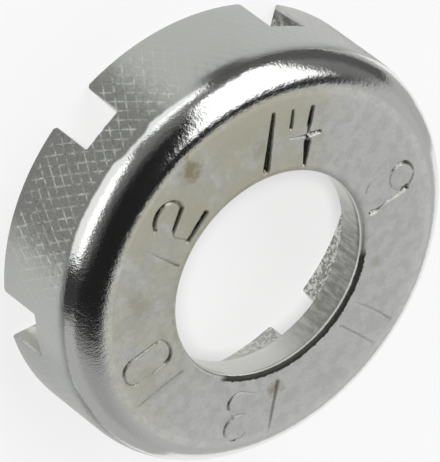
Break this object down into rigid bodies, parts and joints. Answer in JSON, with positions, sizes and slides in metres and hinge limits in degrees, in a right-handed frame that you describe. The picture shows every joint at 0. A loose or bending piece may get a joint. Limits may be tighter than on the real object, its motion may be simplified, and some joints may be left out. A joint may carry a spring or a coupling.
{
  "type": "spoke wrench",
  "caption": "Round pocket spoke wrench: a plated steel cup with graded nipple jaws cut into its knurled rim, a numbered face and a hanging hole.",
  "frame": {"origin": "centre of the open rim, on the plane that the rim stands on", "axes": "+Z along the ring's axis out of the numbered face, +X through the middle of the 9 gauge jaw, +Y by the right-hand rule"},
  "size_m": [0.0349, 0.035, 0.0095],
  "materials": {
    "nickel_plate": "bright nickel plate over pressed steel, polished on the shoulder and dull on the face"
  },
  "bodies": {
    "root": {"wrench_ring": "nickel_plate"}
  },
  "joints": []
}
